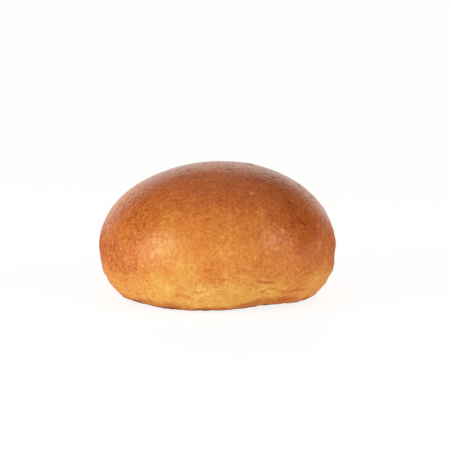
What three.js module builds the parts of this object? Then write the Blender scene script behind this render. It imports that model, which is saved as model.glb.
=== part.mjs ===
// A glazed bread roll, baked in one piece: a round crown, sides that tuck in towards the
// foot, folds where the dough was drawn under, and the flat underside that it was baked on.
// Millimetres, +Z up, origin at the middle of the underside. The front faces -Y.
import * as THREE from "three";

// Driving sizes.
const WIDTH = 100.4; // across the waist, left to right
const DEPTH = 98.2; // across the waist, front to back
const HEIGHT = 56.5; // underside to crown
const WAIST = 20.5; // height of the widest ring
const FOOT_WIDTH = 80.4; // where the side's curve would meet the tray
const FOOT_FULLNESS = 2.3; // power of that curve: 2 is an ellipse, more is squarer
const FLAT_WIDTH = 76.4; // the flat of the underside
const RIM_HEIGHT = 1.0; // where the rounded rim of the foot runs into the side
const CROWN_LEAN = 1.3; // how far the crown sits to the right of the foot

// How finely the form is cut into faces.
const STEPS_AROUND = 120;
const FLAT_RINGS = 4;
const RIM_RINGS = 2;
const SIDE_RINGS = 12;
const CROWN_RINGS = 22;

// Turns are in degrees round from the front, towards the right.
// The rim of the foot curls up off the tray in these places.
const RIM_CURLS = [
  { turn: 30, spread: 26, rise: 1.4 },
  { turn: 128, spread: 24, rise: 0.8 },
  { turn: -150, spread: 20, rise: 1.0 },
];

// Folds and dents low on the side. Length and width are half the feature's reach along the
// crust, slant lifts its right end, and a depth below zero stands out as a ridge.
const FOLDS = [
  { turn: 22, height: 13.4, length: 7, width: 1.9, slant: -14, depth: 0.55 },
  { turn: 21, height: 10.4, length: 6, width: 1.7, slant: -10, depth: -0.35 },
  { turn: 36, height: 7.6, length: 9, width: 1.8, slant: 6, depth: 0.5 },
  { turn: -12, height: 9.6, length: 9, width: 1.8, slant: 16, depth: -0.4 },
  { turn: -15, height: 6.4, length: 8, width: 1.8, slant: 12, depth: 0.35 },
  { turn: -6, height: 14.6, length: 5, width: 2.6, slant: 0, depth: 0.35 },
  { turn: -43, height: 15.8, length: 4, width: 2.4, slant: 40, depth: 0.4 },
  { turn: -88, height: 15.6, length: 13, width: 3.0, slant: 3, depth: 0.45 },
  { turn: -71, height: 10.2, length: 6, width: 1.7, slant: -5, depth: 0.5 },
  { turn: -58, height: 5.0, length: 12, width: 2.6, slant: 0, depth: -0.5 },
  { turn: 86, height: 17.4, length: 12, width: 3.6, slant: -4, depth: 0.6 },
  { turn: 88, height: 11.6, length: 12, width: 2.2, slant: 0, depth: -0.6 },
  { turn: 76, height: 6.2, length: 7, width: 1.8, slant: 8, depth: 0.45 },
  { turn: 104, height: 12.2, length: 9, width: 2.1, slant: 10, depth: 0.6 },
  { turn: 139, height: 9.4, length: 8, width: 2.0, slant: -12, depth: 0.6 },
  { turn: 172, height: 13.0, length: 10, width: 2.1, slant: 7, depth: 0.65 },
  { turn: -158, height: 8.6, length: 8, width: 1.9, slant: -9, depth: 0.5 },
  { turn: -122, height: 13.2, length: 9, width: 2.1, slant: -13, depth: 0.6 },
  { turn: -96, height: 15.0, length: 6, width: 2.0, slant: 14, depth: 0.45 },
];

// The tuck: an uneven line round the low side, above which the crust overhangs a little.
const TUCK_HEIGHT = 8.2;
const TUCK_WANDER = 1.8;
const TUCK_WIDTH = 2.1;
const TUCK_DEPTH = 0.45;

// Slow unevenness of the whole roll, as depth and reach of its swells.
const SWELL_DEPTH = 0.28;
const SWELL_REACH = 13;
const WAIST_WANDER = 0.009; // share of the radius
const FOOT_WANDER = 0.012;

const WAIST_RADIUS = WIDTH / 2;
const FOOT_RADIUS = FOOT_WIDTH / 2;
const CROWN_RISE = HEIGHT - WAIST;
// The side's superellipse would close this far below the waist, if the tray didn't cut it off.
const SIDE_REACH =
  WAIST / (1 - (FOOT_RADIUS / WAIST_RADIUS) ** FOOT_FULLNESS) ** (1 / FOOT_FULLNESS);

// Radius of the side at a height between foot and waist.
function sideRadius(height) {
  const drop = (WAIST - height) / SIDE_REACH;
  return WAIST_RADIUS * (1 - drop ** FOOT_FULLNESS) ** (1 / FOOT_FULLNESS);
}

// Half the roll's section, from the middle of the underside to the top of the crown.
function section() {
  const flatEdge = new THREE.Vector2(FLAT_WIDTH / 2, 0);
  const rimCorner = new THREE.Vector2(FOOT_RADIUS, 0);
  const rimTop = new THREE.Vector2(sideRadius(RIM_HEIGHT), RIM_HEIGHT);
  const underside = new THREE.LineCurve(new THREE.Vector2(0, 0), flatEdge);
  const rim = new THREE.QuadraticBezierCurve(flatEdge, rimCorner, rimTop);
  const crown = new THREE.EllipseCurve(0, WAIST, WAIST_RADIUS, CROWN_RISE, 0, Math.PI / 2);
  const side = Array.from({ length: SIDE_RINGS }, (_, ring) => {
    const height = THREE.MathUtils.lerp(RIM_HEIGHT, WAIST, (ring + 1) / SIDE_RINGS);
    return new THREE.Vector2(sideRadius(height), height);
  });
  return [
    ...underside.getSpacedPoints(FLAT_RINGS),
    ...rim.getSpacedPoints(RIM_RINGS).slice(1),
    ...side,
    ...crown.getSpacedPoints(CROWN_RINGS).slice(1, -1),
    new THREE.Vector2(0, HEIGHT),
  ];
}

// Degrees from one turn to another, the short way round.
function turnBetween(from, to) {
  return THREE.MathUtils.euclideanModulo(to - from + 180, 360) - 180;
}

function bell(distance, reach) {
  return Math.exp(-((distance / reach) ** 2));
}

// How deep the folds press in at one place on the side.
function foldDepth(turn, height) {
  return FOLDS.reduce((sum, fold) => {
    const slant = THREE.MathUtils.degToRad(fold.slant);
    const across = THREE.MathUtils.degToRad(turnBetween(fold.turn, turn)) * WAIST_RADIUS;
    const rise = height - fold.height;
    const along = across * Math.cos(slant) + rise * Math.sin(slant);
    const over = rise * Math.cos(slant) - across * Math.sin(slant);
    return sum + fold.depth * bell(along, fold.length) * bell(over, fold.width);
  }, 0);
}

// The tuck wanders up and down and comes and goes on its way round.
function tuckDepth(turn, height) {
  const angle = THREE.MathUtils.degToRad(turn);
  const wander = 0.6 * Math.sin(2 * angle + 0.8) + 0.4 * Math.sin(5 * angle + 2.1);
  const strength = 0.55 + 0.3 * Math.sin(3 * angle + 1.9) + 0.15 * Math.sin(7 * angle);
  const line = TUCK_HEIGHT + TUCK_WANDER * wander;
  const overhang = bell(height - line - 1.6 * TUCK_WIDTH, 1.4 * TUCK_WIDTH);
  return TUCK_DEPTH * strength * (bell(height - line, TUCK_WIDTH) - 0.5 * overhang);
}

// Slow swells over the whole crust, the same on both sides of the lathe's seam.
function swell({ x, y, z }) {
  const [u, v, w] = [x, y, z].map((along) => along / SWELL_REACH);
  const broad = Math.sin(u + 1.3 * w + 0.4) * Math.cos(v - 0.6 * w + 0.3);
  const short = Math.sin(1.9 * u - 1.2 * v + 2.3) * Math.cos(1.7 * w + 0.9 * v);
  return SWELL_DEPTH * (0.65 * broad + 0.35 * short);
}

// How far the rim has curled up off the tray, for a point that far out and that high.
function rimLift(turn, radius, height) {
  const curl = RIM_CURLS.reduce(
    (sum, { turn: middle, spread, rise }) => sum + rise * bell(turnBetween(middle, turn), spread),
    0,
  );
  const outer = THREE.MathUtils.smoothstep(radius, 0.3 * FLAT_WIDTH, FOOT_RADIUS);
  const low = THREE.MathUtils.clamp(1 - height / WAIST, 0, 1);
  return curl * outer * low ** 2;
}

// Direction straight out of the plain form.
function outward({ x, y, z }) {
  const rise = z > WAIST ? CROWN_RISE : SIDE_REACH;
  const stand = (z - WAIST) / rise ** 2;
  return new THREE.Vector3(x / WAIST_RADIUS ** 2, y / WAIST_RADIUS ** 2, stand).normalize();
}

// Takes a point of the plain turned form to its place on the real, uneven roll.
function knead(point) {
  const radius = Math.hypot(point.x, point.y);
  const turn = THREE.MathUtils.radToDeg(Math.atan2(point.x, -point.y));
  const height = point.z;
  const angle = THREE.MathUtils.degToRad(turn);
  const low = THREE.MathUtils.clamp(1 - height / WAIST, 0, 1);
  const onCrust = THREE.MathUtils.smoothstep(height, 0, 3 * RIM_HEIGHT);
  const high = THREE.MathUtils.clamp((height - WAIST) / CROWN_RISE, 0, 1);

  const inwards = foldDepth(turn, height) + tuckDepth(turn, height) - swell(point);
  const made = point.clone().addScaledVector(outward(point), -inwards * onCrust);

  const waistWander = WAIST_WANDER * Math.sin(3 * angle + 0.7);
  const footWander = FOOT_WANDER * low * (Math.sin(4 * angle + 2.6) + 0.6 * Math.sin(9 * angle));
  const spread = 1 + (waistWander + footWander) * Math.min(1, radius / FOOT_RADIUS);
  made.x = made.x * spread + CROWN_LEAN * high ** 3;
  made.y *= (spread * DEPTH) / WIDTH;
  made.z += rimLift(turn, radius, height);
  return made;
}

function breadRoll() {
  const geometry = new THREE.LatheGeometry(section(), STEPS_AROUND);
  geometry.rotateX(Math.PI / 2);
  const position = geometry.getAttribute("position");
  const point = new THREE.Vector3();
  for (let i = 0; i < position.count; i++) {
    const { x, y, z } = knead(point.fromBufferAttribute(position, i));
    position.setXYZ(i, x, y, z);
  }
  geometry.computeBoundingBox();
  const middle = geometry.boundingBox.getCenter(new THREE.Vector3());
  geometry.translate(-middle.x, -middle.y, 0);
  geometry.computeVertexNormals();
  const crust = new THREE.MeshStandardMaterial({
    color: new THREE.Color("#c8783a"),
    roughness: 0.45,
    metalness: 0,
  });
  const mesh = new THREE.Mesh(geometry, crust);
  mesh.name = "bread_roll";
  return mesh;
}

const roll = new THREE.Group();
roll.add(breadRoll());

export default roll;
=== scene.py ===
import math
import random

import bmesh
import bpy
import numpy as np
from bpy.props import FloatProperty, FloatVectorProperty, IntProperty, PointerProperty
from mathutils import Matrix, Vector, noise
from mathutils.bvhtree import BVHTree


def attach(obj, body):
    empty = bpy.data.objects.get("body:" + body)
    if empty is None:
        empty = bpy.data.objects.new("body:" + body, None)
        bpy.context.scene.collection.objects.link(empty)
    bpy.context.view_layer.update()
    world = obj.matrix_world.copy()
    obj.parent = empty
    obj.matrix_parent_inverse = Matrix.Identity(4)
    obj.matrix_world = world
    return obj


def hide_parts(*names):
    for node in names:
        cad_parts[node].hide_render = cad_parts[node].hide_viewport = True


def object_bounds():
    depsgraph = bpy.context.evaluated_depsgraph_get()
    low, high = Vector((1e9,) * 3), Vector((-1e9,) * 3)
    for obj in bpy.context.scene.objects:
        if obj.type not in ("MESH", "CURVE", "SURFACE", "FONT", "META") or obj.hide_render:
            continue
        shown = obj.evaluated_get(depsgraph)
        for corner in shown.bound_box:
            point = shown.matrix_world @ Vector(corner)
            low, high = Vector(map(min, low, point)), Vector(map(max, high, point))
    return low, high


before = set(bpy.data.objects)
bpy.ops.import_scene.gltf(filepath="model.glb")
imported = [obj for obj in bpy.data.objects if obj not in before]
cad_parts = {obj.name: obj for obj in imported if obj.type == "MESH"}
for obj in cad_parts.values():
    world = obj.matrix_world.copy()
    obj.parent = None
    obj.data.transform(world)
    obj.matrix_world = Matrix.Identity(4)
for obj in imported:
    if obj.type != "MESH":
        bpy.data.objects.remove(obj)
SOLID_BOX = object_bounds()

bl_info = {
    "name": "Bread Roll",
    "version": (1, 0, 0),
    "blender": (4, 5, 0),
    "location": "View3D > Sidebar > Bread Roll",
    "description": "A glazed bread roll with a browned, folded crust, and a studio to see it in",
    "category": "Object",
}

SOLID = "bread_roll"
CRUST = "bread_roll_crust"
BODY = "root"
MM = 0.001  # metres

# The crust is worked in millimetres, and places on it are given by turn and height. Turns are
# in degrees round from the front, towards the right, and heights are above the tray.

# Folds where the dough was drawn under: the places they run through, how deep they are, how
# wide, and how far the crust above stands out.
FOLDS = {
    "front_fold": dict(
        path=[(19, 14.5), (21, 13.9), (23, 13.3), (26, 13.0), (31, 12.7)],
        depth=0.8,
        width=0.5,
        lip=0.3,
    ),
    "front_crease": dict(path=[(15, 13.2), (18, 12.0), (21, 10.6)], depth=0.25, width=0.7, lip=0.1),
    "right_crease": dict(
        path=[(28, 6.9), (32, 7.5), (36, 8.5), (40, 10.0)],
        depth=0.3,
        width=0.6,
        lip=0.1,
    ),
    "rim_tuck": dict(
        path=[(9, 3.4), (14, 4.6), (20, 5.5), (28, 5.8), (38, 5.4), (46, 4.7), (54, 3.3)],
        depth=0.6,
        width=0.8,
        lip=0.1,
    ),
    "left_crease": dict(path=[(-14, 8.2), (-10, 9.1), (-6, 9.8)], depth=0.3, width=0.6, lip=0.0),
    "left_hollow": dict(path=[(-23, 3.8), (-18, 5.2), (-12, 6.4)], depth=0.4, width=1.0, lip=0.1),
    "right_notch": dict(path=[(70, 13.2), (84, 12.6), (98, 12.0)], depth=0.4, width=0.9, lip=0.2),
    "left_notch": dict(path=[(-98, 8.0), (-86, 8.6), (-72, 8.2)], depth=0.4, width=1.0, lip=0.3),
}

# Pale ridges beside the folds, where the dough stretched and browned less and where a painted
# highlight lightens the crest: the places they run through, how high they stand, and how wide they
# are.
RIDGES = {
    "upper_streak": dict(
        path=[(-17, 8.6), (-13, 9.7), (-8, 10.8), (-3, 11.6)],
        height=0.25,
        width=0.8,
    ),
    "lower_streak": dict(
        path=[(-16, 6.9), (-10, 8.1), (-5, 8.8), (-1, 10.8), (3, 12.0)],
        height=0.3,
        width=0.8,
    ),
    "fold_shoulder": dict(
        path=[(8, 16.9), (13, 16.8), (16, 15.9), (18, 13.8)],
        height=0.35,
        width=0.8,
    ),
    "fold_lower_lip": dict(path=[(20, 12.7), (24, 12.0), (28, 11.7)], height=0.15, width=0.7),
    "crease_lip": dict(path=[(30, 7.7), (34, 8.9), (38, 9.9)], height=0.2, width=0.8),
    "rim_lip": dict(path=[(10, 6.3), (17, 7.1), (24, 7.5), (32, 7.3)], height=0.1, width=1.1),
    "right_kink": dict(path=[(70, 6.8), (84, 6.2), (98, 6.6)], height=0.5, width=1.6),
}

# The lip above a fold and above a short crease: how far it is over the groove and how wide it
# is, both in widths of the groove.
FOLD_LIP = (1.8, 1.3)
CREASE_LIP = (1.9, 1.4)

# How bluntly folds and ridges end: less is blunter, and short creases have 1.
BLUNTNESS = 0.7

# Open pores on the crown, as turn, height and radius.
PORES = [
    (-59, 56.3, 0.9), (-45, 54.3, 1.1), (-39, 52.4, 0.8), (-21, 52.2, 0.9), (31, 51.8, 0.7),
    (86, 53.0, 0.8), (64, 51.3, 0.9), (70, 51.0, 0.7), (75, 49.9, 0.8), (8, 56.3, 0.7),
    (21, 54.9, 0.8), (76, 33.6, 0.8),
]

# Small swells and dents low on the sides, as turn, height, reach and rise.
SWELLS = [
    (36, 7.6, 2.4, 0.35), (42, 8.1, 2.4, 0.30), (48, 8.7, 2.4, 0.30), (24, 10.2, 2.4, -0.20),
    (88, 20.8, 3.5, 0.40), (80, 11.2, 2.6, -0.60), (76, 6.6, 2.2, 0.25), (62, 3.0, 4.0, -0.60),
    (-85, 13.0, 3.0, -0.30), (-78, 8.0, 2.6, -0.60), (-62, 3.0, 3.5, -0.50), (-48, 1.2, 4.0, 0.60),
]

# Small pale blisters that show from the front, as turn, height and radius, and how much paler
# they are than the palest of the others.
FRONT_BLISTERS = [
    (26, 47.5, 0.64), (29, 47.4, 0.48), (3, 32.0, 0.64), (7, 31.8, 0.56), (2, 26.1, 0.64),
    (49, 33.9, 0.64), (63, 32.6, 0.64), (34, 28.5, 0.56), (24, 41.2, 0.56), (13, 41.7, 0.64),
    (39, 27.8, 0.48), (4, 16.2, 0.64), (59, 26.2, 0.72), (-24, 11.0, 0.96), (-50, 20.4, 0.64),
]
FRONT_PALENESS = 1.8

# Welts where a bubble under the glaze lifted it, as turn, height, radius and rise.
WELTS = [(106, 55.2, 3.2, 0.35), (-140, 53.0, 4.0, 0.25), (-16, 54.6, 3.4, 0.2)]

# Places that browned more or less than their surroundings, as turn, height, reach and change.
PATCHES = [
    (-14, 20, 28, -0.28), (28, 27, 14, -0.16), (50, 37, 15, 0.29), (-75, 33, 13, 0.12),
    (-42, 39, 8, 0.14), (-43, 17, 2.6, 0.16), (-49, 14.8, 2.2, 0.12), (-62, 22, 4, 0.03),
    (-2.5, 15.5, 5, 0.11), (2, 19, 4, 0.12), (-15, 18, 5, -0.18), (-34, 11, 7, 0.07),
    (-64, 10, 7, -0.10), (32, 9.5, 5, -0.08), (-15, 12.5, 4.5, 0.12), (56, 13, 6, -0.11),
    (-24, 27, 8, -0.07), (-10, 41, 10, 0.08), (-31, 17, 5, -0.13), (-46, 25, 4.5, 0.09),
    (140, 22, 26, -0.16), (-150, 30, 22, -0.10), (95, 40, 20, 0.10),
]

# How far the crust has browned at the foot, and where it browns further up, as the heights
# between which it does and how much.
FOOT_BROWNING = 0.31
BROWNING_RISES = [(9, 19, 0.24), (38, 54, 0.22)]

# Places where the grain is coarser or finer than elsewhere, as turn, height, reach and change.
COARSE_PLACES = [
    (-58, 35, 16, 0.4), (-45, 9, 11, 0.45), (4, 8, 12, 0.25), (42, 33, 16, -0.25),
    (125, 32, 18, 0.12), (-150, 38, 18, 0.15), (178, 12, 18, -0.10),
]

# The brown rim above the underside: how high it reaches, how softly it ends, and where it
# curls up higher, as turn, spread and rise.
RIM_HEIGHT = 2.6
RIM_FADE = 1.3
RIM_CURLS = [(32, 19, 2.8), (-38, 16, 1.4), (128, 20, 2.4), (-150, 18, 2.8)]

# Where the dark foot band of burnt edge and painted contact shadow reaches higher, as turn, spread
# and rise.
SCORCH_AND_SHADOW_RISES = [(30, 26, 1.4), (128, 24, 0.8), (-150, 20, 1.0)]

# The lower edge of the glaze: its height at the front, how much higher it is beyond these
# turns, and how softly it ends.
GLAZE_HEIGHT = 17
GLAZE_RISE = 13
GLAZE_TURNS = (45, 70)
GLAZE_FADE = 5

# How many short creases, pores and blisters are placed at random, and with which seed.
SHORT_CREASES = 46
MORE_PORES = 18
MORE_BLISTERS = 170
SEED = 7

# Sizes in the crust's colours, in metres: of its specks, its grain and its clouds, of the cells
# that hold a speck or a spot, and of the layers baked against the tray.
FINE_SIZE = 0.8 * MM
GRAIN_SIZE = 1.6 * MM
MOTTLE_SIZE = 3.4 * MM
CLOUD_SIZE = 8.0 * MM
CELL_SIZE = 2.4 * MM
LAYER_SIZE = 1.3 * MM

# The specks and spots: where a dot ends, as a share of its cell, and between which random
# numbers a cell comes to have a pale speck or a dark spot.
DOT_EDGE = (0.06, 0.24)
SPECKED_CELLS = (0.80, 0.92)
SPOTTED_CELLS = (0.90, 0.96)

# What the crust's colour is multiplied by: on light and on dark grain, and without glaze.
LIGHT_GRAIN = (1.13, 1.28, 1.75)
DARK_GRAIN = (0.87, 0.72, 0.25)
NO_GLAZE = (0.955, 1.065, 1.34)

# The walls as seen from the roll: how far the panel behind reaches to the left and to the
# right, and how soft its sides are.
PANEL_LEFT = math.radians(42)
PANEL_RIGHT = math.radians(32)
PANEL_SOFTNESS = 0.08

# Where walls and ceiling fade into each other, as the upward part of a direction: 0 is level
# and 1 is straight up. The panel's top falls away from its middle, a little more on the right.
BAND_TOP = (0.055, 0.12)
PANEL_TOP = (0.48, 0.72)
PANEL_FALL = 0.5
PANEL_LEAN = 0.15
FRONT_TOP = (0.5, 0.8)
CEILING_EDGE = (0.6, 0.9)

# The floor lies a little under the roll, and the softboxes face a place inside it.
FLOOR_GAP = 0.05 * MM
LIGHT_AIM = 25 * MM


class RollForm(bpy.types.PropertyGroup):
    """Sizes of the relief in the crust."""

    faces: IntProperty(
        name="Faces",
        description="Faces along each edge of the six panels that the crust is laid out in",
        default=128,
        min=16,
        max=128,
    )
    grain: FloatProperty(
        name="Grain",
        description="How far the fine pebbled grain of the crust stands out",
        default=0.07 * MM,
        unit="LENGTH",
    )
    dimples: FloatProperty(
        name="Dimples",
        description="How deep the soft dimples low on the side are",
        default=0.2 * MM,
        unit="LENGTH",
    )
    stretch: FloatProperty(
        name="Stretch marks",
        description="How far the upright marks on the side stand out",
        default=0.06 * MM,
        unit="LENGTH",
    )
    pore_depth: FloatProperty(
        name="Pore depth",
        description="How deep the open pores on the crown are",
        default=0.2 * MM,
        unit="LENGTH",
    )
    blister_height: FloatProperty(
        name="Blister height",
        description="How far the small blisters stand out",
        default=0.14 * MM,
        unit="LENGTH",
    )
    rim_wander: FloatProperty(
        name="Rim wander",
        description="How far the rim of the underside wanders in and out",
        default=0.35 * MM,
        unit="LENGTH",
    )
    hollow_depth: FloatProperty(
        name="Hollow depth",
        description="How deep the small hollows in the underside are",
        default=0.35 * MM,
        unit="LENGTH",
    )


class CrustLook(bpy.types.PropertyGroup):
    """Colours and gloss of the crust."""

    pale: FloatVectorProperty(
        name="Pale",
        description="The least baked crust, along the ridges low on the side",
        default=(0.88, 0.435, 0.085),
        size=3,
        subtype="COLOR",
    )
    straw: FloatVectorProperty(
        name="Straw",
        description="The crust low on the side",
        default=(0.81, 0.35, 0.057),
        size=3,
        subtype="COLOR",
    )
    golden: FloatVectorProperty(
        name="Golden",
        description="The crust round the waist at the front",
        default=(0.76, 0.262, 0.043),
        size=3,
        subtype="COLOR",
    )
    amber: FloatVectorProperty(
        name="Amber",
        description="The crust round the waist elsewhere",
        default=(0.68, 0.197, 0.031),
        size=3,
        subtype="COLOR",
    )
    chestnut: FloatVectorProperty(
        name="Chestnut",
        description="The lower crown",
        default=(0.58, 0.135, 0.021),
        size=3,
        subtype="COLOR",
    )
    brown: FloatVectorProperty(
        name="Brown",
        description="The upper crown",
        default=(0.455, 0.094, 0.013),
        size=3,
        subtype="COLOR",
    )
    dark: FloatVectorProperty(
        name="Dark",
        description="The most baked crust",
        default=(0.28, 0.048, 0.008),
        size=3,
        subtype="COLOR",
    )
    tray: FloatVectorProperty(
        name="Tray brown",
        description="The rim and the underside, which baked against the tray",
        default=(0.52, 0.165, 0.028),
        size=3,
        subtype="COLOR",
    )
    # The dark of the foot band, which is both burnt edge and painted contact shadow.
    scorch: FloatVectorProperty(
        name="Scorch",
        description="The edge of the underside",
        default=(0.12, 0.032, 0.010),
        size=3,
        subtype="COLOR",
    )
    glaze: FloatProperty(
        name="Glaze roughness",
        description="How rough the glazed crown is",
        default=0.3,
        min=0.0,
        max=1.0,
        subtype="FACTOR",
    )
    matte: FloatProperty(
        name="Matte roughness",
        description="How rough the crust is where no glaze was brushed on",
        default=0.7,
        min=0.0,
        max=1.0,
        subtype="FACTOR",
    )
    glaze_ior: FloatProperty(
        name="Glaze refraction",
        description="Index of refraction of the glazed crown, which sets how strongly it shines",
        default=1.35,
        min=1.0,
    )
    bare_ior: FloatProperty(
        name="Bare refraction",
        description="Index of refraction where no glaze was brushed on",
        default=1.2,
        min=1.0,
    )


class StudioSet(bpy.types.PropertyGroup):
    """The floor, the lights and the camera."""

    floor_radius: FloatProperty(
        name="Floor radius",
        description="How far the floor reaches",
        default=6.0,
        unit="LENGTH",
    )
    floor_colour: FloatVectorProperty(
        name="Floor colour",
        description="The floor",
        default=(0.2, 0.2, 0.2),
        size=3,
        subtype="COLOR",
    )
    floor_glow: FloatProperty(
        name="Floor glow",
        description="Light that comes through the floor, as on a light table",
        default=0.85,
        min=0.0,
    )
    horizon_light: FloatProperty(
        name="Horizon light",
        description="Brightness of the white band low all round",
        default=1.25,
        min=0.0,
    )
    back_light: FloatProperty(
        name="Back light",
        description="Brightness of the tall panel behind",
        default=1.75,
        min=0.0,
    )
    back_colour: FloatVectorProperty(
        name="Back colour",
        description="The tall panel behind",
        default=(0.8, 0.765, 0.71),
        size=3,
        subtype="COLOR",
    )
    wall_colour: FloatVectorProperty(
        name="Wall colour",
        description="The walls beside the panel, and the ceiling",
        default=(0.8, 0.8, 0.8),
        size=3,
        subtype="COLOR",
    )
    front_light: FloatProperty(
        name="Front light",
        description="Brightness of the room in front",
        default=0.65,
        min=0.0,
    )
    side_light: FloatProperty(
        name="Side light",
        description="Brightness of the room at the sides",
        default=0.08,
        min=0.0,
    )
    ceiling_light: FloatProperty(
        name="Ceiling light",
        description="Brightness overhead",
        default=0.55,
        min=0.0,
    )
    left_light: FloatProperty(
        name="Left softbox",
        description="Power of the softbox at the left",
        default=3.6,
        unit="POWER",
    )
    right_light: FloatProperty(
        name="Right softbox",
        description="Power of the softbox at the right",
        default=1.65,
        unit="POWER",
    )
    camera_rise: FloatProperty(
        name="Camera rise",
        description="Angle at which the camera looks down",
        default=math.radians(9),
        subtype="ANGLE",
    )
    camera_distance: FloatProperty(
        name="Camera distance",
        description="From the camera to what it looks at",
        default=0.9,
        unit="LENGTH",
    )
    camera_aim: FloatVectorProperty(
        name="Camera aim",
        description="What the camera looks at",
        default=(3.34 * MM, 0.73 * MM, 29.63 * MM),
        size=3,
        subtype="TRANSLATION",
    )
    camera_lens: FloatProperty(
        name="Camera lens",
        description="Focal length on a frame 36 mm wide",
        default=170.1,
        unit="CAMERA",
    )


class Wire:
    """What comes out of a node. Maths on it adds the Math nodes that work it out."""

    def __init__(self, bench, socket):
        self.bench = bench
        self.socket = socket

    def __add__(self, other):
        return self.bench.maths("ADD", self, other)

    __radd__ = __add__

    def __sub__(self, other):
        return self.bench.maths("SUBTRACT", self, other)

    def __rsub__(self, other):
        return self.bench.maths("SUBTRACT", other, self)

    def __mul__(self, other):
        return self.bench.maths("MULTIPLY", self, other)

    __rmul__ = __mul__


class Bench:
    """A node tree while it is wired up."""

    def __init__(self, owner):
        owner.use_nodes = True
        self.tree = owner.node_tree
        self.tree.nodes.clear()

    def node(self, kind, settings=None, sockets=()):
        """Adds a node. Sockets are given by name, or in order, as values or as wires."""
        made = self.tree.nodes.new(kind)
        for name, value in (settings or {}).items():
            if name == "stops":
                self.set_stops(made.color_ramp, value)
            else:
                setattr(made, name, value)
        free = [socket for socket in made.inputs if socket.enabled]
        if isinstance(sockets, dict):
            first = {socket.name: socket for socket in reversed(free)}
            pairs = [(first[name], value) for name, value in sockets.items()]
        else:
            pairs = list(zip(free, sockets))
        for socket, value in pairs:
            if isinstance(value, Wire):
                self.tree.links.new(value.socket, socket)
            else:
                socket.default_value = value
        return {socket.name: Wire(self, socket) for socket in made.outputs if socket.enabled}

    @staticmethod
    def set_stops(ramp, stops):
        while len(ramp.elements) < len(stops):
            ramp.elements.new(1.0)
        for element, (position, colour) in zip(ramp.elements, stops):
            element.position = position
            element.color = (*colour, 1.0)

    def maths(self, operation, *values):
        return self.node("ShaderNodeMath", {"operation": operation}, values)["Value"]

    def scaled(self, place, factors):
        """A place with each of its three parts multiplied."""
        settings = {"operation": "MULTIPLY"}
        return self.node("ShaderNodeVectorMath", settings, [place, factors])["Vector"]

    def step(self, value, start, end):
        """From 0 at start to 1 at end, with a soft bend at both."""
        settings = {"interpolation_type": "SMOOTHSTEP"}
        sockets = {"Value": value, "From Min": start, "From Max": end}
        return self.node("ShaderNodeMapRange", settings, sockets)["Result"]

    def blend(self, share, first, second, how="MIX"):
        """Two colours blended, the second one by its share."""
        settings = {"data_type": "RGBA", "blend_type": how, "clamp_factor": True}
        sockets = {"Factor": share, "A": first, "B": second}
        return self.node("ShaderNodeMix", settings, sockets)["Result"]

    def mark(self, name):
        return self.node("ShaderNodeAttribute", {"attribute_name": name})["Fac"]

    def speckle(self, place, size, detail=1.0):
        """Soft noise round 0, with spots of about that size in metres."""
        sockets = {"Vector": place, "Scale": 1 / size, "Detail": detail, "Roughness": 0.55}
        return self.node("ShaderNodeTexNoise", None, sockets)["Fac"] - 0.5


class Crust:
    """The crust while it is worked: points in millimetres, quads, and marks for the colours."""

    def __init__(self, points, quads):
        self.points = points
        self.quads = quads
        self.marks = {}
        self.survey()

    def survey(self):
        """Works out again where each point is and which way it faces."""
        self.out = facing(self.points, self.quads)
        self.radius = np.hypot(self.points[:, 0], self.points[:, 1])
        self.turn = np.degrees(np.arctan2(self.points[:, 0], -self.points[:, 1]))
        self.height = self.points[:, 2].copy()

    def raise_by(self, heights):
        self.points += self.out * heights[:, None]

    def mark(self, name, strength):
        """Keeps how strong something is at each point, the stronger where two overlap."""
        self.marks[name] = np.maximum(self.marks.get(name, 0.0), strength)

    def round_from(self, turn):
        """Degrees round from a turn to each point, from -180 to 180."""
        return (self.turn - turn + 180) % 360 - 180

    def spot(self, turn, height):
        """The point of the crust at a turn and a height, never one on the underside."""
        around = np.radians(self.round_from(turn)) * self.radius
        side = self.out[:, 2] > -0.5
        away = np.where(side, around ** 2 + (self.height - height) ** 2, np.inf)
        return self.points[np.argmin(away)]

    def bell(self, middle, reach):
        """1 at the middle, fading out with distance from it."""
        return fade(np.linalg.norm(self.points - middle, axis=1), reach)

    def round_rim(self, rises):
        """For each point, the sum of rises given as turn, spread and rise."""
        return sum(rise * fade(self.round_from(turn), spread) for turn, spread, rise in rises)

    def bumps(self, size, shift=0.0, tall=1.0):
        """Random heights round 0, with bumps of about that size and that much taller than wide.
        Another shift gives other bumps."""
        stretched = self.points / (size, size, size * tall) + shift
        return np.array([noise.noise(Vector(place)) for place in stretched])

    def along(self, path):
        """Each point's signed distance over a path, and how far along it the point is, 0 to 1."""
        corners = np.array([self.spot(turn, height) for turn, height in path])
        lengths = np.linalg.norm(np.diff(corners, axis=0), axis=1)
        nearest = np.full(len(self.points), np.inf)
        share = np.zeros(len(self.points))
        start_length = 0.0
        for start, end, length in zip(corners, corners[1:], lengths):
            way = (end - start) / length
            reached = np.clip((self.points - start) @ way, 0, length)
            off = self.points - start - reached[:, None] * way
            away = np.linalg.norm(off, axis=1)
            closer = away < np.abs(nearest)
            nearest[closer] = np.copysign(away, off[:, 2])[closer]
            share[closer] = ((start_length + reached) / lengths.sum())[closer]
            start_length += length
        return nearest, share

    def groove(self, path, width, lip=FOLD_LIP, bluntness=BLUNTNESS):
        """A groove along a path and the lip over it, each 1 at its middle and 0 at the ends."""
        over, share = self.along(path)
        ends = np.sin(math.pi * share) ** bluntness
        lip_over, lip_width = lip
        return fade(over, width) * ends, fade(over - lip_over * width, lip_width * width) * ends


def fade(away, reach):
    """1 at no distance, fading out round the reach."""
    return np.exp(-((away / reach) ** 2))


def soft_step(value, start, end):
    """From 0 at start to 1 at end, with a soft bend at both."""
    share = np.clip((value - start) / (end - start), 0, 1)
    return share * share * (3 - 2 * share)


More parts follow.
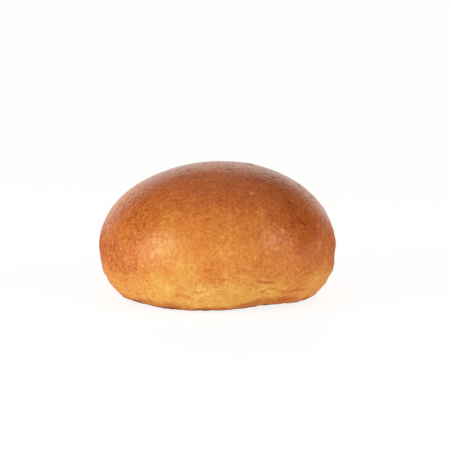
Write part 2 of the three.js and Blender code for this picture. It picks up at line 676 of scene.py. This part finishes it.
def facing(points, quads):
    """The way out at each point, from the quads round it."""
    corners = [points[quads[:, k]] for k in range(4)]
    across = np.cross(corners[2] - corners[0], corners[3] - corners[1])
    total = np.zeros_like(points)
    for k in range(4):
        for axis in range(3):
            total[:, axis] += np.bincount(quads[:, k], across[:, axis], len(points))
    return total / np.linalg.norm(total, axis=1)[:, None]


def evened(points, quads, passes):
    """The points with unevenness between neighbours taken out, and the form kept."""
    here = quads.ravel()
    there = np.roll(quads, -1, axis=1).ravel()
    neighbours = np.bincount(here, minlength=len(points))
    for _ in range(passes):
        # A pull towards the neighbours, and a push back that keeps the form from shrinking.
        for pull in (0.5, -0.52):
            sums = [np.bincount(here, points[there, axis], len(points)) for axis in range(3)]
            points = points + pull * (np.stack(sums, 1) / neighbours[:, None] - points)
    return points


def cube_grid(faces):
    """Directions to the points of a grid on a cube, bent to lie evenly, and the grid's quads."""
    u, v = np.meshgrid(np.arange(faces + 1), np.arange(faces + 1), indexing="ij")
    number = np.arange(u.size).reshape(u.shape)
    loop = np.stack([number[:-1, :-1], number[1:, :-1], number[1:, 1:], number[:-1, 1:]], -1)
    loop = loop.reshape(-1, 4)
    lattice, quads = [], []
    for axis in range(3):
        for side in (0, faces):
            panel = np.empty((u.size, 3), int)
            panel[:, axis] = side
            panel[:, (axis + 1) % 3] = u.ravel()
            panel[:, (axis + 2) % 3] = v.ravel()
            outward = loop if side else loop[:, ::-1]
            quads.append(outward + len(lattice) * u.size)
            lattice.append(panel)
    corners, where = np.unique(np.concatenate(lattice), axis=0, return_inverse=True)
    directions = np.tan((2 * corners / faces - 1) * math.pi / 4)
    directions /= np.linalg.norm(directions, axis=1)[:, None]
    return directions, where.ravel()[np.concatenate(quads)]


def rounded_solid():
    """A search tree of the solid with its facets rounded off. The solid itself isn't touched."""
    shape = bmesh.new()
    shape.from_mesh(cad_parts[SOLID].data)
    bmesh.ops.remove_doubles(shape, verts=shape.verts, dist=0.01 * MM)
    mesh = bpy.data.meshes.new("rounding")
    shape.to_mesh(mesh)
    shape.free()
    copy = bpy.data.objects.new("rounding", mesh)
    bpy.context.scene.collection.objects.link(copy)
    rounding = copy.modifiers.new("rounding", "SUBSURF")
    rounding.levels = 2
    tree = BVHTree.FromObject(copy, bpy.context.evaluated_depsgraph_get())
    bpy.data.objects.remove(copy)
    bpy.data.meshes.remove(mesh)
    return tree


def bare_crust(faces):
    """The solid's form in an even grid of quads."""
    directions, quads = cube_grid(faces)
    low, high = SOLID_BOX
    half = (high - low) / 2
    # The lines start under the middle, and the lower ones go down a little more steeply.
    middle = Vector((0, 0, low.z + 0.72 * half.z))
    under = 1.25 * (middle.z - low.z)
    over = high.z - middle.z
    tree = rounded_solid()
    points = np.empty_like(directions)
    for number, (x, y, z) in enumerate(directions):
        way = Vector((x * half.x, y * half.y, z * (over if z > 0 else under)))
        place = tree.ray_cast(middle, way)[0]
        if place is None:
            raise RuntimeError("a line from the middle of the solid misses its surface")
        points[number] = place / MM
    return Crust(evened(points, quads, passes=4), quads)


def press_folds(crust):
    """Presses in the folds, each with its lip and with painted shade inside, and raises the pale
    ridges beside them.
    """
    full_shade_depth = 0.5  # a fold this deep or deeper gets the full painted shade inside
    for fold in FOLDS.values():
        groove, lip = crust.groove(fold["path"], fold["width"])
        crust.raise_by(fold["lip"] * lip - fold["depth"] * groove)
        # The fold mark paints shade into the groove.
        crust.mark("fold", groove * min(1.0, fold["depth"] / full_shade_depth))
    for ridge in RIDGES.values():
        crest, _ = crust.groove(ridge["path"], ridge["width"])
        crust.raise_by(ridge["height"] * crest)
        # The ridge mark pales the crest: partly less browning, partly a painted highlight.
        crust.mark("ridge", crest)
    crust.survey()


def swell_sides(crust):
    """Low swells and dents that show in the outline."""
    for turn, height, reach, rise in SWELLS:
        crust.raise_by(rise * crust.bell(crust.spot(turn, height), reach))
    crust.survey()


def crease_sides(crust, draw):
    """Short creases low on the side, all the way round except across the front."""
    for _ in range(SHORT_CREASES):
        turn = draw.uniform(66, 300)
        height = draw.uniform(5, 18)
        reach = draw.uniform(4, 11)
        tilt = draw.uniform(-1.2, 1.2)
        path = [
            (turn + reach * step, height + tilt * step + draw.uniform(-0.4, 0.4))
            for step in (-1, 0, 1)
        ]
        width = draw.uniform(0.8, 1.5)
        depth = draw.uniform(0.08, 0.4)
        groove, lip = crust.groove(path, width, CREASE_LIP, bluntness=1)
        crust.raise_by(0.5 * depth * lip - depth * groove)
        # The grooves of the creases get painted shade, and their lips a painted highlight.
        crust.mark("fold", groove * depth)
        crust.mark("ridge", lip * depth)
    crust.survey()


def roughen(crust, form):
    """The grain of the whole crust, dimples and upright stretch marks low on the side."""
    low_band = soft_step(crust.height, 1.5, 5) * (1 - soft_step(crust.height, 14, 24))
    side = soft_step(crust.height, 2, 6) * (1 - soft_step(crust.height, 24, 36))
    crown = soft_step(crust.height, 40, 50)
    dimples = crust.bumps(size=5.5, shift=3.1) * (0.35 + low_band - 0.15 * crown)
    grain = crust.bumps(size=1.7, shift=9.4) + 0.5 * crust.bumps(size=3.2, shift=5.2)
    coarse = sum(
        change * crust.bell(crust.spot(turn, height), reach)
        for turn, height, reach, change in COARSE_PLACES
    )
    grain *= 1 + coarse - 0.5 * crown
    crust.mark("coarse", coarse)
    stretch = crust.bumps(size=1.6, shift=1.7, tall=4.0) * side
    crust.raise_by((form.dimples * dimples + form.grain * grain + form.stretch * stretch) / MM)


def open_pores(crust, form, draw):
    """Small open pores on the crown, the listed ones and others round the back, each with painted
    shade in its hollow.
    """
    others = []
    for _ in range(MORE_PORES):
        turn = draw.uniform(95, 265)
        height = 56.4 - 18 * draw.random() ** 2
        others.append((turn, height, draw.uniform(0.6, 0.9)))
    for turn, height, radius in PORES + others:
        hollow = crust.bell(crust.spot(turn, height), radius)
        crust.raise_by(-form.pore_depth / MM * hollow)
        # The pore mark paints shade into each hollow.
        crust.mark("pore", hollow)


def lift_blisters(crust, form, draw):
    """Small pale blisters over the whole crust, and a few broad welts on the crown."""
    others = [
        (draw.uniform(-180, 180), draw.uniform(9, 54), draw.uniform(0.6, 0.9))
        for _ in range(MORE_BLISTERS)
    ]
    paleness = [FRONT_PALENESS] * len(FRONT_BLISTERS) + [draw.uniform(0.3, 1) for _ in others]
    for (turn, height, radius), pale in zip(FRONT_BLISTERS + others, paleness):
        dome = crust.bell(crust.spot(turn, height), radius)
        crust.raise_by(form.blister_height / MM * dome)
        crust.mark("blister", pale * dome)
    for turn, height, radius, rise in WELTS:
        crust.raise_by(rise * crust.bell(crust.spot(turn, height), radius))


def shape_rim(crust, form):
    """Lets the rim of the underside wander in and out, sets small hollows into the underside, and
    marks the underside.
    """
    rim = fade(crust.height, 2.2) * soft_step(crust.radius, 30, 38)
    wander = crust.bumps(size=6.0, shift=7.7) + 0.5 * crust.bumps(size=2.4, shift=2.9)
    outward = crust.points * (1, 1, 0) / np.maximum(crust.radius, 1)[:, None]
    crust.points += outward * (rim * wander * form.rim_wander / MM)[:, None]
    under = soft_step(-crust.out[:, 2], 0.75, 0.95) * (1 - soft_step(crust.height, 1.5, 4))
    hollows = crust.bumps(size=3.4, shift=4.3) + 0.5 * crust.bumps(size=1.5, shift=8.6)
    crust.points[:, 2] += form.hollow_depth / MM * np.maximum(hollows, 0) * under
    crust.mark("underside", under)


def brown(crust):
    """Marks how far each place has browned in the oven, the brown rim, the glaze, and the thin dark
    band at the foot, which is partly burnt edge and partly painted contact shadow.
    """
    height = crust.height
    browning = np.full(len(height), FOOT_BROWNING)
    for start, end, rise in BROWNING_RISES:
        browning += rise * soft_step(height, start, end)
    for turn, place_height, reach, change in PATCHES:
        browning += change * crust.bell(crust.spot(turn, place_height), reach)
    browning += 0.10 * crust.bumps(size=16, shift=6.1) + 0.07 * crust.bumps(size=6.5, shift=0.7)
    rim_edge = RIM_HEIGHT + crust.round_rim(RIM_CURLS)
    rim_edge += 1.6 * crust.bumps(size=7, shift=3.8) + 0.8 * crust.bumps(size=2.5, shift=6.6)
    crust.mark("rim", 1 - soft_step(height, rim_edge - RIM_FADE, rim_edge + RIM_FADE))
    # The thin dark band at the very foot: partly burnt edge, partly painted contact shadow where
    # the roll meets the floor.
    scorch_and_shadow_edge = 0.8 + 1.8 * crust.bumps(size=8, shift=8.8) + crust.round_rim(SCORCH_AND_SHADOW_RISES)
    crust.mark("scorch", 1 - soft_step(height, scorch_and_shadow_edge - 0.4, scorch_and_shadow_edge + 0.6))
    glaze_edge = GLAZE_HEIGHT + GLAZE_RISE * soft_step(np.abs(crust.turn), *GLAZE_TURNS)
    glaze_edge += 4 * crust.bumps(size=9, shift=1.3)
    crust.mark("glaze", soft_step(height, glaze_edge - GLAZE_FADE, glaze_edge + GLAZE_FADE))
    crust.marks["browning"] = browning


def crust_mesh(crust):
    mesh = bpy.data.meshes.new(CRUST)
    mesh.from_pydata(crust.points * MM, [], crust.quads)
    mesh.shade_smooth()
    for name, strength in crust.marks.items():
        mark = mesh.attributes.new(name, "FLOAT", "POINT")
        mark.data.foreach_set("value", strength.astype(np.float32))
    return mesh


def specks_and_spots(bench, place):
    """Small pale specks and dark spots, in some of the cells that the crust is divided into."""
    sockets = {"Vector": place, "Scale": 1 / FINE_SIZE, "Detail": 1.0}
    swirl = bench.node("ShaderNodeTexNoise", None, sockets)["Color"]
    settings = {"operation": "MULTIPLY_ADD"}
    bent = bench.node("ShaderNodeVectorMath", settings, [swirl, (MM, MM, MM), place])["Vector"]
    cells = bench.node("ShaderNodeTexVoronoi", None, {"Vector": bent, "Scale": 1 / CELL_SIZE})
    chosen = bench.node("ShaderNodeSeparateColor", None, [cells["Color"]])
    dot = 1 - bench.step(cells["Distance"], *DOT_EDGE)
    return (
        dot * bench.step(chosen["Red"], *SPECKED_CELLS),
        dot * bench.step(chosen["Green"], *SPOTTED_CELLS),
    )


def browned_colour(bench, look, unevenness):
    """The colour that each place browned to: paler on blisters, paler on ridges where the dough
    stretched and as painted highlight on their crests, and darker in folds as painted shade.
    """
    baked_in = bench.mark("browning")
    browning = baked_in + (0.55 + 0.9 * baked_in) * unevenness
    # Paler on ridges, partly browned less and partly painted highlight, and paler on blisters.
    browning = browning - 0.16 * bench.mark("ridge") - 0.22 * bench.mark("blister")
    # Painted shade in the folds and creases.
    browning = browning + 0.25 * bench.mark("fold")
    stops = [
        (0.0, look.pale),
        (0.12, look.straw),
        (0.28, look.golden),
        (0.44, look.amber),
        (0.6, look.chestnut),
        (0.8, look.brown),
        (1.0, look.dark),
    ]
    return bench.node("ShaderNodeValToRGB", {"stops": stops}, [browning])["Color"]


def tray_colour(bench, look, place, mottle, cloud):
    """The brown of the rim and the underside, in thin level layers."""
    layers = bench.speckle(bench.scaled(place, (0.3, 0.3, 1.5)), LAYER_SIZE)
    share = 0.4 + 4.5 * layers + 1.4 * mottle + 1.2 * cloud
    return bench.blend(share, (*look.tray, 1), (*look.brown, 1))


def surface(bench, colour, roughness, normal, ior):
    sockets = {"Base Color": colour, "Roughness": roughness, "Normal": normal, "IOR": ior}
    return bench.node("ShaderNodeBsdfPrincipled", None, sockets)["BSDF"]


def crust_material(look):
    """Crust that goes from pale gold low down to brown on the crown, under a thin glaze."""
    material = bpy.data.materials.new("glazed_crust")
    bench = Bench(material)
    place = bench.node("ShaderNodeTexCoord")["Object"]
    glaze = bench.mark("glaze")
    under = bench.mark("underside")
    coarseness = 1 + bench.mark("coarse")
    upright = bench.scaled(place, (1, 1, 0.9))
    fine = bench.speckle(upright, FINE_SIZE)
    grain = bench.speckle(upright, GRAIN_SIZE)
    mottle = bench.speckle(place, MOTTLE_SIZE)
    cloud = bench.speckle(place, CLOUD_SIZE, detail=2.0)
    speck, spot = specks_and_spots(bench, place)

    unevenness = coarseness * (0.22 * fine + 0.22 * grain + 0.16 * mottle) + 0.16 * cloud
    colour = browned_colour(bench, look, unevenness)

    # The grain goes from pale and greyish to dark and deep orange, the more so on brown crust.
    contrast = 0.4 + bench.mark("browning")
    shade = 0.5 + contrast * coarseness * (1.15 * fine + 0.75 * grain + 0.3 * mottle)
    tint = bench.blend(shade, (*LIGHT_GRAIN, 1), (*DARK_GRAIN, 1))
    colour = bench.blend(1.0, colour, tint, how="MULTIPLY")
    bare_tint = bench.blend(glaze, (*NO_GLAZE, 1), (1, 1, 1, 1))
    colour = bench.blend(1.0, colour, bare_tint, how="MULTIPLY")
    colour = bench.blend(0.5 * speck, colour, (*look.straw, 1))
    # Dark spots at random, and painted shade in the open pores.
    colour = bench.blend(0.4 * spot + 0.6 * bench.mark("pore"), colour, (*look.dark, 1))

    baked = tray_colour(bench, look, place, mottle, cloud)
    baked = bench.blend(1.0, baked, tint, how="MULTIPLY")
    colour = bench.blend(0.85 * bench.mark("rim"), colour, baked)
    colour = bench.blend(under, colour, baked)
    # Painted contact shadow and burnt edge, in a thin dark band at the foot.
    colour = bench.blend(0.8 * bench.mark("scorch"), colour, (*look.scorch, 1))

    relief = coarseness * (0.10 * fine + 0.10 * grain) + 0.04 * mottle + 0.04 * speck - 0.05 * spot
    normal = bench.node("ShaderNodeBump", None, {"Height": relief, "Distance": MM})["Normal"]
    rough = 0.25 * grain
    bare = surface(bench, colour, look.matte + rough, normal, look.bare_ior)
    glazed = surface(bench, colour, look.glaze + rough, normal, look.glaze_ior)
    glazed_share = glaze * (1 - 0.6 * bench.mark("fold")) * (1 - under)
    finish = bench.node("ShaderNodeMixShader", None, [glazed_share, bare, glazed])
    bench.node("ShaderNodeOutputMaterial", None, {"Surface": finish["Shader"]})
    return material


def floor_material(studio):
    material = bpy.data.materials.new("studio_floor")
    bench = Bench(material)
    shader = bench.node(
        "ShaderNodeBsdfPrincipled",
        None,
        {
            "Base Color": (*studio.floor_colour, 1),
            "Roughness": 0.9,
            "Emission Color": (1, 1, 1, 1),
            "Emission Strength": studio.floor_glow,
        },
    )
    bench.node("ShaderNodeOutputMaterial", None, {"Surface": shader["BSDF"]})
    return material


def lay_floor(studio):
    mesh = bpy.data.meshes.new("studio_floor")
    shape = bmesh.new()
    bmesh.ops.create_circle(shape, cap_ends=True, segments=96, radius=studio.floor_radius)
    shape.to_mesh(mesh)
    shape.free()
    mesh.materials.append(floor_material(studio))
    floor = bpy.data.objects.new("studio_floor", mesh)
    floor.location.z = -FLOOR_GAP
    bpy.context.scene.collection.objects.link(floor)


def light_walls(studio):
    """A white band low all round, a tall panel behind that falls away from its middle, dim sides,
    a brighter front and a bright ceiling."""
    world = bpy.data.worlds.new("studio_walls")
    bench = Bench(world)
    direction = bench.node("ShaderNodeTexCoord")["Generated"]
    parts = bench.node("ShaderNodeSeparateXYZ", None, [direction])
    right, back, up = parts["X"], parts["Y"], parts["Z"]
    band = 1 - bench.step(up, *BAND_TOP)
    soft = (-PANEL_SOFTNESS, PANEL_SOFTNESS)
    inside_left = bench.step(right + back * math.tan(PANEL_LEFT), *soft)
    inside_right = bench.step(back * math.tan(PANEL_RIGHT) - right, *soft)
    aside = bench.maths("ABSOLUTE", right)
    above = bench.step(up + PANEL_FALL * aside + PANEL_LEAN * right, *PANEL_TOP)
    panel = inside_left * inside_right * (1 - above)
    front = bench.step(back, 0.0, -0.6) * (1 - bench.step(up, *FRONT_TOP))
    ceiling = bench.step(up, *CEILING_EDGE)
    room = studio.side_light + studio.front_light * front + studio.ceiling_light * ceiling
    bright = bench.maths("MAXIMUM", studio.back_light * panel, studio.horizon_light * band)
    strength = bench.maths("MAXIMUM", bright, room)
    colour = bench.blend(panel, (*studio.wall_colour, 1), (*studio.back_colour, 1))
    background = bench.node("ShaderNodeBackground", None, {"Color": colour, "Strength": strength})
    bench.node("ShaderNodeOutputWorld", None, {"Surface": background["Background"]})
    bpy.context.scene.world = world


def hang_softbox(name, turn, rise, distance, size, power):
    """A softbox that faces the roll. Turn is round from the front, towards the right."""
    light = bpy.data.lights.new(name, "AREA")
    light.shape = "RECTANGLE"
    light.size, light.size_y = size
    light.energy = power
    softbox = bpy.data.objects.new(name, light)
    turn, rise = math.radians(turn), math.radians(rise)
    level = math.cos(rise)
    away = Vector((math.sin(turn) * level, -math.cos(turn) * level, math.sin(rise)))
    softbox.location = away * distance + Vector((0, 0, LIGHT_AIM))
    softbox.rotation_euler = away.to_track_quat("Z", "Y").to_euler()
    softbox.visible_camera = False
    bpy.context.scene.collection.objects.link(softbox)


def set_camera(studio):
    lens = bpy.data.cameras.new("camera")
    lens.lens = studio.camera_lens
    camera = bpy.data.objects.new("camera", lens)
    rise = studio.camera_rise
    away = Vector((0, -math.cos(rise), math.sin(rise)))
    camera.location = Vector(studio.camera_aim) + away * studio.camera_distance
    camera.rotation_euler = away.to_track_quat("Z", "Y").to_euler()
    bpy.context.scene.collection.objects.link(camera)
    bpy.context.scene.camera = camera


class BREADROLL_OT_crust(bpy.types.Operator):
    """Makes the roll's crust over its solid, with folds, pores, blisters and browned colours"""

    bl_idname = "bread_roll.crust"
    bl_label = "Make Crust"

    def execute(self, context):
        form = context.scene.bread_roll_form
        draw = random.Random(SEED)
        crust = bare_crust(form.faces)
        swell_sides(crust)
        press_folds(crust)
        crease_sides(crust, draw)
        brown(crust)
        roughen(crust, form)
        open_pores(crust, form, draw)
        lift_blisters(crust, form, draw)
        shape_rim(crust, form)
        crust.points[:, 2] = np.maximum(crust.points[:, 2], 0)
        mesh = crust_mesh(crust)
        mesh.materials.append(crust_material(context.scene.bread_roll_look))
        piece = bpy.data.objects.new(CRUST, mesh)
        context.scene.collection.objects.link(piece)
        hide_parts(SOLID)
        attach(piece, BODY)
        return {"FINISHED"}


class BREADROLL_OT_stage(bpy.types.Operator):
    """Sets the floor, the walls, two softboxes and the camera"""

    bl_idname = "bread_roll.stage"
    bl_label = "Set Stage"

    def execute(self, context):
        studio = context.scene.bread_roll_studio
        lay_floor(studio)
        light_walls(studio)
        hang_softbox(
            "left_softbox",
            turn=-62,
            rise=15,
            distance=0.9,
            size=(0.45, 0.5),
            power=studio.left_light,
        )
        hang_softbox(
            "right_softbox",
            turn=62,
            rise=26,
            distance=0.9,
            size=(0.3, 0.36),
            power=studio.right_light,
        )
        set_camera(studio)
        context.scene.view_settings.view_transform = "Standard"
        return {"FINISHED"}


class BREADROLL_PT_sidebar(bpy.types.Panel):
    """Lists the roll's sizes and colours, and what makes it"""

    bl_label = "Bread Roll"
    bl_space_type = "VIEW_3D"
    bl_region_type = "UI"
    bl_category = "Bread Roll"

    def draw(self, context):
        scene = context.scene
        for group, operator in (
            (scene.bread_roll_form, None),
            (scene.bread_roll_look, BREADROLL_OT_crust),
            (scene.bread_roll_studio, BREADROLL_OT_stage),
        ):
            for name in group.bl_rna.properties.keys():
                if name not in ("rna_type", "name"):
                    self.layout.prop(group, name)
            if operator:
                self.layout.operator(operator.bl_idname)


CLASSES = (
    RollForm,
    CrustLook,
    StudioSet,
    BREADROLL_OT_crust,
    BREADROLL_OT_stage,
    BREADROLL_PT_sidebar,
)
GROUPS = {
    "bread_roll_form": RollForm,
    "bread_roll_look": CrustLook,
    "bread_roll_studio": StudioSet,
}


def register():
    for cls in CLASSES:
        bpy.utils.register_class(cls)
    for name, group in GROUPS.items():
        setattr(bpy.types.Scene, name, PointerProperty(type=group))


def unregister():
    for name in GROUPS:
        delattr(bpy.types.Scene, name)
    for cls in reversed(CLASSES):
        bpy.utils.unregister_class(cls)


def main():
    register()
    bpy.ops.bread_roll.crust()
    bpy.ops.bread_roll.stage()


if __name__ == "__main__":
    main()
